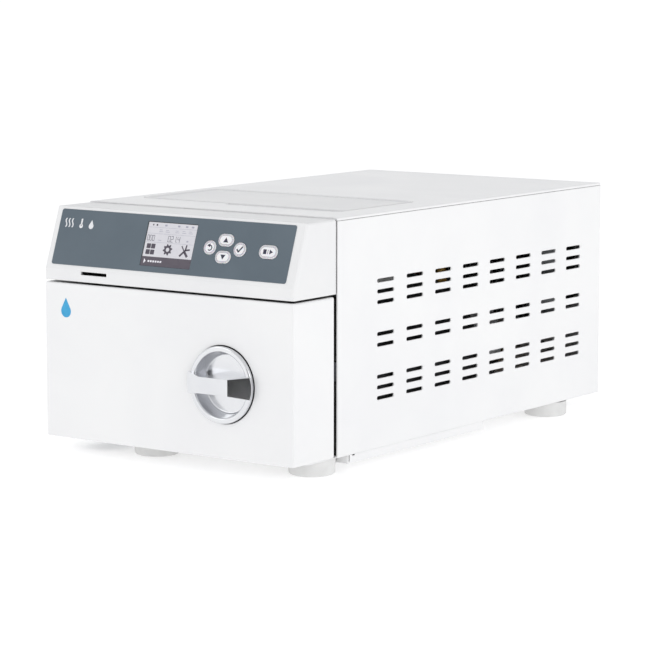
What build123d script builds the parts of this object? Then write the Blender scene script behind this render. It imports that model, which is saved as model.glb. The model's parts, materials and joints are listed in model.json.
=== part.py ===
from build123d import *
import math
import os

os.makedirs("parts", exist_ok=True)

# Benchtop autoclave: a front-loading pressure chamber on the right, a swing-open
# door with a rotary lock, a sloping control console, and the water and vacuum
# services around the chamber. Millimetres, +Z up, +Y from the door to the rear.
# The origin is on the floor at the middle of the overall box. Depths in this
# script are measured from the door's front face, towards the rear.

# ---- driving dimensions ----
WIDTH = 270.0
BODY_DEPTH = 495.0
BODY_TOP = 217.7
FOOT_HEIGHT = 15.0
KNOB_PROUD = 13.5
REAR_PROUD = 12.0
SHEET = 1.2
DOOR_TOP = 152.0
DOOR_DEPTH = 56.3
DOOR_GAP = 0.5
HEADER_BOTTOM = 154.0
HEADER_KINK = 164.0
HEADER_REAR = 59.3
HEADER_TOP = 216.7
SLOPE_DEG = 19.4
SLOPE_LENGTH = 56.0
SIDE_FRONT = 61.5
SEAM_TOP = 215.0
CHAMBER_X = 61.4
CHAMBER_Z = 78.6
CHAMBER_RADIUS = 55.0
VESSEL_WALL = 1.5
CHAMBER_REAR = 345.0
HINGE_X = -127.0
HINGE_DEPTH = 48.3
HINGE_PIN_RADIUS = 3.0
KNOB_RADIUS = 32.8
KNOB_GAP = 0.7
PINION_RADIUS = 4.0
PINION_TEETH = 8
RUNNING_GAP = 0.05

# ---- derived places ----
HALF = WIDTH / 2
FRONT_Y = -(KNOB_PROUD + BODY_DEPTH + REAR_PROUD) / 2 + KNOB_PROUD
WALL_IN = HALF - SHEET
PLATE_Z = FOOT_HEIGHT - SHEET
PAN_X = (0.0, 133.5)
PAN_DEPTH = (79.3, 291.8)
VESSEL_OUTER = CHAMBER_RADIUS + VESSEL_WALL
SLOPE = math.radians(SLOPE_DEG)
SLOPE_TOP_DEPTH = SLOPE_LENGTH * math.sin(SLOPE)
SLOPE_TOP_Z = HEADER_KINK + SLOPE_LENGTH * math.cos(SLOPE)
REAR_PANEL = (BODY_DEPTH - 2 * SHEET, BODY_DEPTH - SHEET)


def at(depth):
    """The y of a depth behind the door's front face."""
    return FRONT_Y + depth


def slab(x_range, depth_range, z_range, mode=Mode.ADD):
    """A box between two x, two depths and two heights, inside the current part."""
    x0, x1 = sorted(x_range)
    d0, d1 = depth_range
    z0, z1 = z_range
    with Locations(((x0 + x1) / 2, at((d0 + d1) / 2), (z0 + z1) / 2)):
        Box(x1 - x0, d1 - d0, z1 - z0, mode=mode)


def drum(x, z, depth_range, radius, mode=Mode.ADD):
    """A cylinder along the depth, centred on (x, z)."""
    d0, d1 = depth_range
    with Locations(Location((x, at((d0 + d1) / 2), z), (90, 0, 0))):
        Cylinder(radius, d1 - d0, mode=mode)


def post(x, depth, z_range, radius, mode=Mode.ADD):
    """A cylinder along the height, centred on (x, depth)."""
    z0, z1 = z_range
    with Locations((x, at(depth), (z0 + z1) / 2)):
        Cylinder(radius, z1 - z0, mode=mode)


def bar(depth, z, x_range, radius, mode=Mode.ADD):
    """A cylinder along the width, centred on (depth, z)."""
    x0, x1 = x_range
    with Locations(Location(((x0 + x1) / 2, at(depth), z), (0, 90, 0))):
        Cylinder(radius, x1 - x0, mode=mode)


def slope_plane(offset=0.0):
    """Plane on the console's sloping face, x across and y up the slope."""
    normal = (0, -math.cos(SLOPE), math.sin(SLOPE))
    face = Plane(origin=(0, at(0), HEADER_KINK), x_dir=(1, 0, 0), z_dir=normal)
    return face.offset(offset)


def tube(points, bend, radius, mode=Mode.ADD):
    """A round pipe through the points (x, depth, z), with bends of one radius."""
    route = [(x, at(depth), z) for x, depth, z in points]
    with BuildLine(mode=Mode.PRIVATE) as path:
        FilletPolyline(*route, radius=bend)
    start = path.line @ 0
    heading = path.line % 0
    with BuildSketch(Plane(origin=start, z_dir=heading), mode=Mode.PRIVATE) as ring:
        Circle(radius)
    sweep(sections=ring.sketch, path=path.line, mode=mode)


# ================= cabinet =================

FOOT_PLACES = [(111.0, 58.0), (-54.0, 54.0), (114.0, 431.0), (-54.0, 431.0)]
FOOT_RADIUS = 20.0
SCREW_RADIUS = 2.0

with BuildPart() as base_plate:
    slab((-131, 131), (22, 489), (PLATE_Z, FOOT_HEIGHT))
    fillet(base_plate.edges().filter_by(Axis.Z), 6)
    slab((PAN_X[0], HALF), PAN_DEPTH, (PLATE_Z - 1, FOOT_HEIGHT + 1), Mode.SUBTRACT)
    for foot_x, foot_depth in FOOT_PLACES:
        post(foot_x, foot_depth, (PLATE_Z, FOOT_HEIGHT), SCREW_RADIUS, Mode.SUBTRACT)
    post(HINGE_X, HINGE_DEPTH, (PLATE_Z, FOOT_HEIGHT), HINGE_PIN_RADIUS, Mode.SUBTRACT)
base_plate.part.label = "base_plate"
export_step(base_plate.part, "parts/base_plate.step")

# Pan under the chamber, with a flange along its left side
PAN_BOTTOM = 7.0
with BuildPart() as drop_pan:
    slab(PAN_X, PAN_DEPTH, (PAN_BOTTOM, FOOT_HEIGHT))
    fillet(drop_pan.edges().filter_by(Axis.Z), 1.0)
    fillet(drop_pan.faces().sort_by(Axis.Z)[0].edges(), 0.9)
    slab(
        (PAN_X[0] + SHEET, PAN_X[1] - SHEET),
        (PAN_DEPTH[0] + SHEET, PAN_DEPTH[1] - SHEET),
        (PAN_BOTTOM + SHEET, FOOT_HEIGHT + 1),
        Mode.SUBTRACT,
    )
    slab((PAN_X[0] - 12, PAN_X[0]), PAN_DEPTH, (PLATE_Z - SHEET, PLATE_Z))
    # bend relief in the right wall by the front corner, and a notch for the side panel's tab
    slab((131, 134), (PAN_DEPTH[0] + 1.0, PAN_DEPTH[0] + 2.2), (9, 16), Mode.SUBTRACT)
    slab((132, 134), (85.5, 89), (13.4, 16), Mode.SUBTRACT)
drop_pan.part.label = "drop_pan"
export_step(drop_pan.part, "parts/drop_pan.step")

VENT_COLUMNS = [132.5 + 44.5 * column for column in range(8)]
VENT_ROWS = [159.4, 150.1, 141.0, 113.5, 104.2, 76.6, 67.4, 58.2]
VENT_LENGTH = 25.6
VENT_HEIGHT = 3.4


def side_panel(side):
    """Folded side: wall with vents, and returns at the rear, foot and top."""
    outer = side * HALF
    inner = side * WALL_IN
    with BuildPart() as panel:
        slab((outer, side * 118), (SIDE_FRONT, BODY_DEPTH), (FOOT_HEIGHT, SEAM_TOP))
        corners = panel.edges().filter_by(Axis.Z).filter_by_position(
            Axis.X, min(outer, inner) - 0.1, max(outer, inner) + 0.1
        )
        fillet(corners.sort_by(Axis.Y)[-1], 1.6)
        z_inside = (FOOT_HEIGHT + SHEET, SEAM_TOP - SHEET)
        slab((inner, side * 117), (SIDE_FRONT + SHEET, BODY_DEPTH - SHEET), z_inside, Mode.SUBTRACT)
        slab((inner, side * 117), (SIDE_FRONT - 1, SIDE_FRONT + 2), (0, 230), Mode.SUBTRACT)
        slab((side * 124, side * 117), (BODY_DEPTH - 2, BODY_DEPTH + 1), (0, 230), Mode.SUBTRACT)
        slab((side * 124.5, side * 117), (0, BODY_DEPTH + 1), (SEAM_TOP - 2, 230), Mode.SUBTRACT)
        with BuildSketch(Plane.YZ.offset(side * 130)):
            for vent_depth in VENT_COLUMNS:
                for vent_z in VENT_ROWS:
                    with Locations((at(vent_depth), vent_z)):
                        SlotOverall(VENT_LENGTH, VENT_HEIGHT)
        extrude(amount=side * 8, mode=Mode.SUBTRACT)
    return panel.part


right_side_panel = side_panel(1)
right_side_panel.label = "right_side_panel"
export_step(right_side_panel, "parts/right_side_panel.step")

left_side_panel = side_panel(-1)
left_side_panel.label = "left_side_panel"
export_step(left_side_panel, "parts/left_side_panel.step")

# Front frame: plate behind the door that carries the chamber flange and keepers
FRAME_DEPTH = (66.0, 68.0)
SPIGOT_RADIUS = 60.0
with BuildPart() as front_frame:
    slab((-132.8, 132.8), FRAME_DEPTH, (FOOT_HEIGHT + SHEET, SEAM_TOP - SHEET))
    slab((-117, 117), (FRAME_DEPTH[1], 76), (FOOT_HEIGHT + SHEET, FOOT_HEIGHT + 3))
    slab((-117, 117), (FRAME_DEPTH[1], 74), (SEAM_TOP - 3, SEAM_TOP - SHEET))
    drum(CHAMBER_X, CHAMBER_Z, (60, 80), SPIGOT_RADIUS, Mode.SUBTRACT)
    slab((-110, -70), (60, 80), (177, 191), Mode.SUBTRACT)
front_frame.part.label = "front_frame"
export_step(front_frame.part, "parts/front_frame.step")

# Lid well of the top cover: the lid's own outline, and a finger pocket in front
WELL_X = (-121.0, 105.0)
WELL_DEPTH = (113.0, 225.0)
WELL_FLOOR = 211.0
WELL_CORNER = 10.0
POCKET_X = (-20.0, 105.0)
POCKET_CORNER = 7.5
POCKET_FRONT = 105.0
COVER_UNDER = 216.2
COVER_SEAM = 0.3
TANK_TOP = 209.0
LID_TOP = 217.2
LID_RIM_TOP = 218.3
LID_RIM = 3.0
LID_GAP = 0.8
LID_WALL = 2.0


def well_outline(inset):
    """The lid's rounded outline, shrunk by an inset, inside the current sketch."""
    well_width = WELL_X[1] - WELL_X[0] - 2 * inset
    well_reach = WELL_DEPTH[1] - WELL_DEPTH[0] - 2 * inset
    with Locations((sum(WELL_X) / 2, at(sum(WELL_DEPTH) / 2))):
        RectangleRounded(well_width, well_reach, WELL_CORNER - inset)


with BuildPart() as top_cover:
    slab((-HALF, HALF), (61.0, BODY_DEPTH), (SEAM_TOP + COVER_SEAM, BODY_TOP))
    fillet(top_cover.edges().filter_by(Axis.Z).sort_by(Axis.Y)[2:], 1.6)
    fillet(top_cover.faces().sort_by(Axis.Z)[-1].edges().sort_by(Axis.Y)[1:], 1.2)
    slab((-WALL_IN, WALL_IN), (60, BODY_DEPTH - SHEET), (SEAM_TOP, COVER_UNDER), Mode.SUBTRACT)
    slab((WELL_X[0] - 2, WELL_X[1] + 2), (POCKET_FRONT - 2, WELL_DEPTH[1] + 2), (TANK_TOP, COVER_UNDER))
    with BuildSketch(Plane.XY.offset(WELL_FLOOR)):
        well_outline(0)
        with Locations((sum(POCKET_X) / 2, at(POCKET_FRONT + 20))):
            RectangleRounded(POCKET_X[1] - POCKET_X[0], 40, POCKET_CORNER)
    extrude(amount=BODY_TOP - WELL_FLOOR, mode=Mode.SUBTRACT)
    slab((-112, 96), (122, 216), (TANK_TOP - 1, BODY_TOP), Mode.SUBTRACT)
top_cover.part.label = "top_cover"
export_step(top_cover.part, "parts/top_cover.step")

with BuildPart() as tank_lid:
    with BuildSketch(Plane.XY.offset(WELL_FLOOR + 0.1)):
        well_outline(LID_GAP)
    extrude(amount=LID_RIM_TOP - WELL_FLOOR - 0.1)
    with BuildSketch(Plane.XY.offset(LID_TOP)):
        well_outline(LID_GAP + LID_RIM)
    extrude(amount=LID_RIM_TOP - LID_TOP, mode=Mode.SUBTRACT)
    fillet(tank_lid.faces().sort_by(Axis.Z)[-1].edges(), 0.5)
    with BuildSketch(Plane.XY.offset(WELL_FLOOR)):
        well_outline(LID_GAP + LID_WALL)
    extrude(amount=4.0, mode=Mode.SUBTRACT)
    # the wall is cut away under the lip beside the finger pocket
    slab((4, 92), (WELL_DEPTH[0], WELL_DEPTH[0] + 4), (WELL_FLOOR, 214.6), Mode.SUBTRACT)
tank_lid.part.label = "tank_lid"
export_step(tank_lid.part, "parts/tank_lid.step")

# ---- rear panel: the places (x, z) of what goes through it ----
FAN_PLACE = (62.0, 150.0)
INLET_X = -92.0
SOCKET_Z = 48.0
SWITCH_Z = 82.0
INLET_Z = (32.0, 100.0)
DRAIN_PLACES = {"clean": (-18.0, 44.0), "waste": (22.0, 44.0)}
DRAIN_TAIL_RADIUS = 7.0
FILTER_PLACE = (-95.0, 168.0)
GRILLE_RINGS = {10: 6, 18: 12, 26: 18, 34: 24}
REAR_FACE = REAR_PANEL[1]

with BuildPart() as rear_panel:
    slab((-WALL_IN, WALL_IN), REAR_PANEL, (FOOT_HEIGHT + SHEET, SEAM_TOP - SHEET))
    through = (REAR_PANEL[0] - 1, REAR_PANEL[1] + 1)
    with BuildSketch(Plane.XZ.offset(-at(through[1]))):
        for ring_radius, holes in GRILLE_RINGS.items():
            with Locations(FAN_PLACE):
                with PolarLocations(ring_radius, holes):
                    Circle(3.0)
    extrude(amount=through[1] - through[0], mode=Mode.SUBTRACT)
    slab((INLET_X - 14, INLET_X + 14), through, INLET_Z, Mode.SUBTRACT)
    for drain_x, drain_z in DRAIN_PLACES.values():
        drum(drain_x, drain_z, through, DRAIN_TAIL_RADIUS, Mode.SUBTRACT)
    drum(FILTER_PLACE[0], FILTER_PLACE[1], through, 5.0, Mode.SUBTRACT)
rear_panel.part.label = "rear_panel"
export_step(rear_panel.part, "parts/rear_panel.step")

SCREW_HEAD = 3.8
HEAD_HEIGHT = 2.4
FOOT_SCREW_Z = 3.0
with BuildPart() as feet:
    for foot_x, foot_depth in FOOT_PLACES:
        post(foot_x, foot_depth, (0, PLATE_Z), FOOT_RADIUS)
    fillet(feet.edges().group_by(Axis.Z)[0], 2.5)
    for foot_x, foot_depth in FOOT_PLACES:
        post(foot_x, foot_depth, (0, PLATE_Z), SCREW_RADIUS, Mode.SUBTRACT)
        post(foot_x, foot_depth, (0, FOOT_SCREW_Z + HEAD_HEIGHT), SCREW_HEAD + 0.4, Mode.SUBTRACT)
feet.part.label = "feet"
export_step(feet.part, "parts/feet.step")

REAR_SCREWS = [(x, z) for x in (-118, 0, 116) for z in (26, 203)]
with BuildPart() as machine_screws:
    for foot_x, foot_depth in FOOT_PLACES:
        post(foot_x, foot_depth, (FOOT_SCREW_Z, FOOT_SCREW_Z + HEAD_HEIGHT), SCREW_HEAD)
        post(foot_x, foot_depth, (FOOT_SCREW_Z, FOOT_HEIGHT), SCREW_RADIUS)
    for screw_x, screw_z in REAR_SCREWS:
        drum(screw_x, screw_z, (REAR_FACE, REAR_FACE + HEAD_HEIGHT), SCREW_HEAD)
machine_screws.part.label = "machine_screws"
export_step(machine_screws.part, "parts/machine_screws.step")

# ================= console =================

CONSOLE_WALL = 2.2
OVERLAY_X = (-128.2, 126.0)
OVERLAY_S = (4.0, 53.5)
OVERLAY_SINK = 0.5
OVERLAY_PROUD = 0.3
WINDOW_X = (-30.2, 24.1)
WINDOW_S = (9.0, 48.0)
CARD_X = (-93.6, -64.8)
CARD_Z = (160.1, 163.0)
BOARD_DEPTH = 9.6
BOARD_THICK = 1.6
BUTTON_PROUD = 0.9
# each key's place across and up the slope, and its width and height
BUTTONS = {
    "up": (56.7, 36.5, 16.0, 10.7),
    "down": (56.7, 21.9, 16.0, 10.7),
    "back": (41.2, 29.2, 12.6, 12.0),
    "ok": (72.7, 29.4, 12.6, 12.0),
    "start": (102.4, 29.3, 19.0, 11.5),
}


def console_profile(inset):
    """Side outline of the console, shrunk by an inset, inside the current sketch."""
    with BuildLine() as outline:
        Polyline(
            (at(0), HEADER_BOTTOM),
            (at(0), HEADER_KINK),
            (at(SLOPE_TOP_DEPTH), SLOPE_TOP_Z),
            (at(HEADER_REAR), HEADER_TOP),
            (at(HEADER_REAR), HEADER_BOTTOM),
            close=True,
        )
    make_face(outline.edges())
    if inset:
        offset(amount=-inset, kind=Kind.INTERSECTION)


def slope_box(x_range, s_range, low, high, radius=0.0, mode=Mode.ADD):
    """A plate on the slope, between two x, two places up it and two heights off it."""
    with BuildSketch(slope_plane(low)) as plate:
        with Locations(((x_range[0] + x_range[1]) / 2, (s_range[0] + s_range[1]) / 2)):
            if radius:
                RectangleRounded(x_range[1] - x_range[0], s_range[1] - s_range[0], radius)
            else:
                Rectangle(x_range[1] - x_range[0], s_range[1] - s_range[0])
    extrude(plate.sketch, amount=high - low, mode=mode)


def slope_keys(gap, low, high, mode=Mode.ADD):
    """All the keys' outlines, grown by a gap, between two heights off the slope."""
    with BuildSketch(slope_plane(low)) as keys:
        for key_x, key_s, key_width, key_height in BUTTONS.values():
            with Locations((key_x, key_s)):
                SlotOverall(key_width + 2 * gap, key_height + 2 * gap)
    extrude(keys.sketch, amount=high - low, mode=mode)


with BuildPart() as header_housing:
    with BuildSketch(Plane.YZ):
        console_profile(0)
    extrude(amount=HALF, both=True)
    side_faces = header_housing.faces().filter_by(Axis.X)
    rim = side_faces.edges().sort_by(Axis.Y)[:-2]
    fillet(rim.filter_by(lambda edge: edge.center().Z > HEADER_BOTTOM + 1), 2.2)
    with BuildSketch(Plane.YZ):
        console_profile(CONSOLE_WALL)
    extrude(amount=HALF - CONSOLE_WALL, both=True, mode=Mode.SUBTRACT)
    slab(
        (-HALF + CONSOLE_WALL, HALF - CONSOLE_WALL),
        (HEADER_REAR - 10, HEADER_REAR + 1),
        (HEADER_BOTTOM + CONSOLE_WALL, BODY_TOP - 3 * CONSOLE_WALL),
        Mode.SUBTRACT,
    )
    slope_box(OVERLAY_X, OVERLAY_S, -OVERLAY_SINK, 3, 2.0, Mode.SUBTRACT)
    slope_box((-31.2, 25.1), (8, 49), -4, 3, 0, Mode.SUBTRACT)
    slope_keys(0.3, -4, 3, Mode.SUBTRACT)
    slab(CARD_X, (-1, 4), CARD_Z, Mode.SUBTRACT)
    post(HINGE_X, HINGE_DEPTH, (HEADER_BOTTOM - 1, HEADER_BOTTOM + 4), 3.6, Mode.SUBTRACT)
    # standoffs for the control board
    with BuildSketch(slope_plane(-BOARD_DEPTH)):
        with Locations((-108, 12), (-108, 42), (-45, 12), (-45, 42), (108, 42), (118, 12)):
            Circle(3)
    extrude(amount=BOARD_DEPTH - 1.5)
header_housing.part.label = "header_housing"
export_step(header_housing.part, "parts/header_housing.step")

with BuildPart() as control_overlay:
    slope_box(OVERLAY_X, OVERLAY_S, -OVERLAY_SINK, OVERLAY_PROUD, 2.0)
    slope_box(WINDOW_X, WINDOW_S, -2, 2, 0.6, Mode.SUBTRACT)
    slope_keys(0.25, -2, 2, Mode.SUBTRACT)
control_overlay.part.label = "control_overlay"
export_step(control_overlay.part, "parts/control_overlay.step")

with BuildPart() as display_module:
    slope_box((-31.0, 24.9), (8.2, 48.8), -6.5, -OVERLAY_SINK)
    slope_box((-30.0, 23.9), (9.2, 47.8), -OVERLAY_SINK, 0.0, 0.5)
display_module.part.label = "display_module"
export_step(display_module.part, "parts/display_module.step")

SWITCH_HEIGHT = BOARD_DEPTH - 7.9
with BuildPart() as control_board:
    slope_box((-118, 124), (6, 50), -BOARD_DEPTH - BOARD_THICK, -BOARD_DEPTH, 2.0)
    with BuildSketch(slope_plane(-BOARD_DEPTH)):
        for key_x, key_s, key_width, key_height in BUTTONS.values():
            with Locations((key_x, key_s)):
                Rectangle(6, 6)
    extrude(amount=SWITCH_HEIGHT)
    with BuildSketch(slope_plane(-BOARD_DEPTH - BOARD_THICK - 2)):
        with Locations((-80, 30), (-20, 30), (15, 36)):
            Rectangle(18, 18)
        with Locations((-100, 18), (80, 36)):
            Rectangle(30, 7)
    extrude(amount=2)
control_board.part.label = "control_board"
export_step(control_board.part, "parts/control_board.step")

with BuildPart() as card_reader:
    slab((CARD_X[0] - 2.9, CARD_X[1] + 2.8), (CONSOLE_WALL, 30), (157.2, 163.4))
    slab(CARD_X, (CONSOLE_WALL - 1, 27), CARD_Z, Mode.SUBTRACT)
card_reader.part.label = "card_reader"
export_step(card_reader.part, "parts/card_reader.step")

for key_name, (key_x, key_s, key_width, key_height) in BUTTONS.items():
    with BuildPart() as button:
        with BuildSketch(slope_plane(-2.5)):
            with Locations((key_x, key_s)):
                SlotOverall(key_width, key_height)
        extrude(amount=2.5 + BUTTON_PROUD)
        fillet(button.faces().sort_by(Axis.Y)[0].edges(), 0.4)
        with BuildSketch(slope_plane(-3.3)):
            with Locations((key_x, key_s)):
                SlotOverall(key_width + 1, key_height + 1)
        extrude(amount=0.8)
        with BuildSketch(slope_plane(-7.0)):
            with Locations((key_x, key_s)):
                Circle(2)
        extrude(amount=3.7)
    button.part.label = f"button_{key_name}"
    export_step(button.part, f"parts/button_{key_name}.step")

# ================= chamber =================

DISH_RISE = 15.0
DISH_RADIUS = (VESSEL_OUTER**2 + DISH_RISE**2) / (2 * DISH_RISE)
DISH_CENTRE = CHAMBER_REAR + DISH_RISE - DISH_RADIUS
FLANGE_RADIUS = 63.5
FLANGE_FRONT = 61.7
SPIGOT_REAR = 72.0
CHAMBER_AXIS = Axis((CHAMBER_X, 0, CHAMBER_Z), (0, 1, 0))


def turned(points):
    """A solid turned about the chamber's axis from (radius, depth) corners."""
    with BuildSketch(Plane.XY.offset(CHAMBER_Z)) as section:
        with BuildLine():
            Polyline(*[(CHAMBER_X + radius, at(depth)) for radius, depth in points], close=True)
        make_face()
    revolve(section.sketch, axis=CHAMBER_AXIS)


with BuildPart() as chamber_vessel:
    inner_dish = DISH_RADIUS - VESSEL_WALL
    inner_rear = DISH_CENTRE + math.sqrt(inner_dish**2 - CHAMBER_RADIUS**2)
    with BuildSketch(Plane.XY.offset(CHAMBER_Z)):
        with BuildLine():
            outer_rim = (CHAMBER_X + VESSEL_OUTER, at(CHAMBER_REAR))
            inner_rim = (CHAMBER_X + CHAMBER_RADIUS, at(inner_rear))
            outer_apex = (CHAMBER_X, at(CHAMBER_REAR + DISH_RISE))
            inner_apex = (CHAMBER_X, at(CHAMBER_REAR + DISH_RISE - VESSEL_WALL))
            Polyline(
                inner_rim,
                (CHAMBER_X + CHAMBER_RADIUS, at(SPIGOT_REAR)),
                (CHAMBER_X + VESSEL_OUTER, at(SPIGOT_REAR)),
                outer_rim,
            )
            RadiusArc(outer_rim, outer_apex, -DISH_RADIUS)
            Line(outer_apex, inner_apex)
            RadiusArc(inner_apex, inner_rim, inner_dish)
        make_face()
    revolve(axis=CHAMBER_AXIS)
chamber_vessel.part.label = "chamber_vessel"
export_step(chamber_vessel.part, "parts/chamber_vessel.step")

with BuildPart() as chamber_flange:
    turned([
        (CHAMBER_RADIUS, FLANGE_FRONT),
        (FLANGE_RADIUS - 0.5, FLANGE_FRONT),
        (FLANGE_RADIUS, FLANGE_FRONT + 0.5),
        (FLANGE_RADIUS, FRAME_DEPTH[0]),
        (SPIGOT_RADIUS, FRAME_DEPTH[0]),
        (SPIGOT_RADIUS, SPIGOT_REAR),
        (CHAMBER_RADIUS, SPIGOT_REAR),
    ])
chamber_flange.part.label = "chamber_flange"
export_step(chamber_flange.part, "parts/chamber_flange.step")

BAND_DEPTHS = [(95, 125), (165, 195), (235, 265)]
BAND_OUTER = 59.8
with BuildPart() as heater_bands:
    for band in BAND_DEPTHS:
        turned([
            (VESSEL_OUTER, band[0]),
            (BAND_OUTER, band[0]),
            (BAND_OUTER, band[1]),
            (VESSEL_OUTER, band[1]),
        ])
    slab((CHAMBER_X - 2, CHAMBER_X + 2), (90, 270), (CHAMBER_Z + 40, CHAMBER_Z + 62), Mode.SUBTRACT)
heater_bands.part.label = "heater_bands"
export_step(heater_bands.part, "parts/heater_bands.step")

with BuildPart() as insulation_jacket:
    turned([
        (57, 82), (66, 82), (66, 284), (62, 284), (62, 296),
        (57, 296), (57, 294), (60, 294), (60, 84), (57, 84),
    ])
insulation_jacket.part.label = "insulation_jacket"
export_step(insulation_jacket.part, "parts/insulation_jacket.step")

with BuildPart() as chamber_saddle:
    slab((CHAMBER_X - 50, CHAMBER_X + 50), (302, 306), (FOOT_HEIGHT, 66))
    slab((CHAMBER_X - 50, CHAMBER_X + 50), (306, 322), (FOOT_HEIGHT, FOOT_HEIGHT + 2))
    drum(CHAMBER_X, CHAMBER_Z, (300, 324), VESSEL_OUTER, Mode.SUBTRACT)
chamber_saddle.part.label = "chamber_saddle"
export_step(chamber_saddle.part, "parts/chamber_saddle.step")

RACK_HALF = 48.5
RACK_WALL = 1.0
RACK_FOOT = -24.0
LEDGE_Z = 6.0
RACK_DEPTH = (76, 336)
with BuildPart() as tray_rack:
    x_out = (CHAMBER_X - RACK_HALF, CHAMBER_X + RACK_HALF)
    x_in = (x_out[0] + RACK_WALL, x_out[1] - RACK_WALL)
    slab(x_out, RACK_DEPTH, (CHAMBER_Z + RACK_FOOT, CHAMBER_Z + 24))
    slab(x_in, (70, 340), (CHAMBER_Z + RACK_FOOT + RACK_WALL, CHAMBER_Z + 25), Mode.SUBTRACT)
    for side in (-1, 1):
        ledge_x = (CHAMBER_X + side * 43, CHAMBER_X + side * (RACK_HALF - RACK_WALL))
        slab(ledge_x, RACK_DEPTH, (CHAMBER_Z + LEDGE_Z, CHAMBER_Z + LEDGE_Z + RACK_WALL))
        leg_x = (CHAMBER_X + side * 30, CHAMBER_X + side * 31)
        for leg_depth in (90, 310):
            slab(leg_x, (leg_depth, leg_depth + 12), (CHAMBER_Z - 45.3, CHAMBER_Z + RACK_FOOT))
    with BuildSketch(Plane.XY.offset(CHAMBER_Z + RACK_FOOT - 1)):
        with Locations((CHAMBER_X, at(206))):
            with GridLocations(22, 40, 3, 5):
                SlotOverall(26, 8, rotation=90)
    extrude(amount=3, mode=Mode.SUBTRACT)
    with BuildSketch(Plane.YZ.offset(CHAMBER_X - 60)):
        with Locations((at(206), CHAMBER_Z + 16), (at(206), CHAMBER_Z - 10)):
            with GridLocations(40, 10, 6, 1):
                SlotOverall(26, 8)
    extrude(amount=120, mode=Mode.SUBTRACT)
tray_rack.part.label = "tray_rack"
export_step(tray_rack.part, "parts/tray_rack.step")

TRAY_HALF = 46.0
TRAY_WALL = 0.8
TRAY_HEIGHT = 8.0
TRAY_DEPTH = (80, 332)
TRAY_FLOORS = {"lower": RACK_FOOT + RACK_WALL, "upper": LEDGE_Z + RACK_WALL}
for tray_name, tray_floor in TRAY_FLOORS.items():
    with BuildPart() as tray:
        tray_z = CHAMBER_Z + tray_floor
        slab((CHAMBER_X - TRAY_HALF, CHAMBER_X + TRAY_HALF), TRAY_DEPTH, (tray_z, tray_z + TRAY_HEIGHT))
        fillet(tray.edges().filter_by(Axis.Z), 4)
        slab(
            (CHAMBER_X - TRAY_HALF + TRAY_WALL, CHAMBER_X + TRAY_HALF - TRAY_WALL),
            (TRAY_DEPTH[0] + TRAY_WALL, TRAY_DEPTH[1] - TRAY_WALL),
            (tray_z + TRAY_WALL, tray_z + TRAY_HEIGHT),
            Mode.SUBTRACT,
        )
        with BuildSketch(Plane.XY.offset(tray_z)):
            with Locations((CHAMBER_X, at(206))):
                with GridLocations(18, 24, 5, 10):
                    SlotOverall(16, 5, rotation=90)
        extrude(amount=TRAY_WALL, mode=Mode.SUBTRACT)
    tray.part.label = f"{tray_name}_tray"
    export_step(tray.part, f"parts/{tray_name}_tray.step")

# ================= services =================

with BuildPart() as clean_water_tank:
    slab((-118, 100), (118, 220), (150, TANK_TOP))
    fillet(clean_water_tank.edges().filter_by(Axis.Z), 6)
    slab((-116, 98), (120, 218), (152, TANK_TOP), Mode.SUBTRACT)
    post(-96, 200, (140, 150), 5)
    post(-96, 200, (139, 153), 3, Mode.SUBTRACT)
clean_water_tank.part.label = "clean_water_tank"
export_step(clean_water_tank.part, "parts/clean_water_tank.step")

with BuildPart() as waste_water_tank:
    slab((-128, -10), (215, 300), (16.4, 118))
    fillet(waste_water_tank.edges().filter_by(Axis.Z), 6)
    slab((-126, -12), (217, 298), (18.4, 116), Mode.SUBTRACT)
    post(-110, 230, (118, 126), 6)
    post(-110, 230, (115, 127), 4, Mode.SUBTRACT)
waste_water_tank.part.label = "waste_water_tank"
export_step(waste_water_tank.part, "parts/waste_water_tank.step")

BOILER_PLACE = (-62.0, 130.0)
with BuildPart() as steam_generator:
    post(*BOILER_PLACE, (FOOT_HEIGHT, 19), 34)
    post(*BOILER_PLACE, (19, 106), 30)
    post(*BOILER_PLACE, (106, 111), 34)
    with BuildSketch(Plane.XY.offset(111)):
        with Locations((BOILER_PLACE[0], at(BOILER_PLACE[1]))):
            RegularPolygon(8, 6)
    extrude(amount=9)
    for boss_x in (-18, 18):
        post(BOILER_PLACE[0] + boss_x, BOILER_PLACE[1], (111, 117), 4)
steam_generator.part.label = "steam_generator"
export_step(steam_generator.part, "parts/steam_generator.step")

with BuildPart() as vacuum_pump:
    drum(-85, 52, (345, 420), 26)
    slab((-117, -53), (420, 470), (20, 84))
    slab((-112, -58), (350, 470), (FOOT_HEIGHT, 28))
    for fin_depth in range(355, 415, 8):
        drum(-85, 52, (fin_depth, fin_depth + 2), 29)
    slab((-112, -58), (349, 419), (FOOT_HEIGHT - 12, FOOT_HEIGHT), Mode.SUBTRACT)
vacuum_pump.part.label = "vacuum_pump"
export_step(vacuum_pump.part, "parts/vacuum_pump.step")

with BuildPart() as water_pump:
    slab((-129, -101), (85, 125), (FOOT_HEIGHT + SHEET, 52))
    drum(-115, 34, (125, 175), 13)
    drum(-115, 34, (175, 188), 4)
water_pump.part.label = "water_pump"
export_step(water_pump.part, "parts/water_pump.step")

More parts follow.
